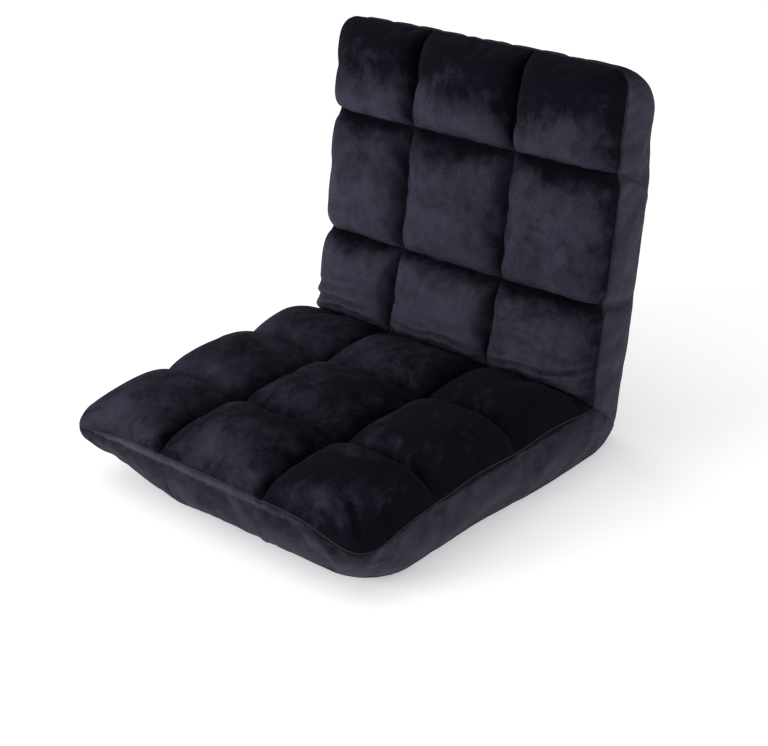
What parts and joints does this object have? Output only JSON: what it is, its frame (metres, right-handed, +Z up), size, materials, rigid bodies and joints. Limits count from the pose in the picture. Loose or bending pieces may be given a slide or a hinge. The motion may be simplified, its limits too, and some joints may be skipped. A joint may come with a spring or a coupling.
{
  "type": "folding floor chair",
  "caption": "Legless floor chair: quilted plush seat and back on a steel tube frame, with ratchet hinges that let the back recline flat.",
  "frame": {"origin": "centre of the chair's bounding box on the floor, with the back at its first notch", "axes": "+Z up, the nose of the seat towards -Y and the back towards +Y, X across the chair with the sitter's left at +X"},
  "size_m": [0.5148, 0.6114, 0.5287],
  "materials": {
    "quilted_plush": "short-pile plush, near-black navy",
    "gusset_plush": "short-pile plush over foam",
    "cover_cloth": "thin black cover cloth",
    "zip": "black coil zip",
    "frame_steel": "black powder coat",
    "hinge_steel": "zinc-plated stampings",
    "spring_steel": "bare spring steel"
  },
  "bodies": {
    "seat": {"corner_wrap": "cover_cloth", "inner_cheek_left": "hinge_steel", "inner_cheek_right": "hinge_steel", "outer_cheek_left": "hinge_steel", "outer_cheek_right": "hinge_steel", "pawl_pin_left": "hinge_steel", "pawl_pin_right": "hinge_steel", "pawl_spring_left": "spring_steel", "pawl_spring_right": "spring_steel", "pivot_pin_left": "hinge_steel", "pivot_pin_right": "hinge_steel", "seat_arm_rivets_left": "hinge_steel", "seat_arm_rivets_right": "hinge_steel", "seat_base_pad": "gusset_plush", "seat_bottom_cloth": "cover_cloth", "seat_cross_tube_front": "frame_steel", "seat_cross_tube_rear": "frame_steel", "seat_frame_tube": "frame_steel", "seat_front_row": "quilted_plush", "seat_middle_row": "quilted_plush", "seat_rear_row": "quilted_plush", "spring_post_left": "hinge_steel", "spring_post_right": "hinge_steel", "stop_pins_left": "hinge_steel", "stop_pins_right": "hinge_steel"},
    "back": {"back_arm_rivets_left": "hinge_steel", "back_arm_rivets_right": "hinge_steel", "back_base_pad": "gusset_plush", "back_cross_tube_lower": "frame_steel", "back_cross_tube_upper": "frame_steel", "back_frame_tube": "frame_steel", "back_head_row": "quilted_plush", "back_low_row": "quilted_plush", "back_middle_row": "quilted_plush", "back_rear_cloth": "cover_cloth", "ratchet_sector_left": "hinge_steel", "ratchet_sector_right": "hinge_steel", "rear_flap": "cover_cloth", "rear_zip": "zip"},
    "pawl_left": {"pawl_left": "hinge_steel"},
    "pawl_right": {"pawl_right": "hinge_steel"}
  },
  "joints": [
    {"name": "back_recline", "type": "hinge", "parent": "seat", "child": "back", "pos_m": [0, 0.20321, 0.04], "axis": [-1, 0, 0], "range_deg": [-6.31, 82], "deforming": ["corner_wrap"]},
    {"name": "pawl_swing_left", "type": "hinge", "parent": "seat", "child": "pawl_left", "pos_m": [0.2, 0.17181, 0.0448], "axis": [1, 0, 0], "range_deg": [0, 8], "stiffness_Nm_per_rad": 0.02, "deforming": ["pawl_spring_left"]},
    {"name": "pawl_swing_right", "type": "hinge", "parent": "seat", "child": "pawl_right", "pos_m": [-0.2, 0.17181, 0.0448], "axis": [1, 0, 0], "range_deg": [0, 8], "stiffness_Nm_per_rad": 0.02, "deforming": ["pawl_spring_right"]}
  ]
}
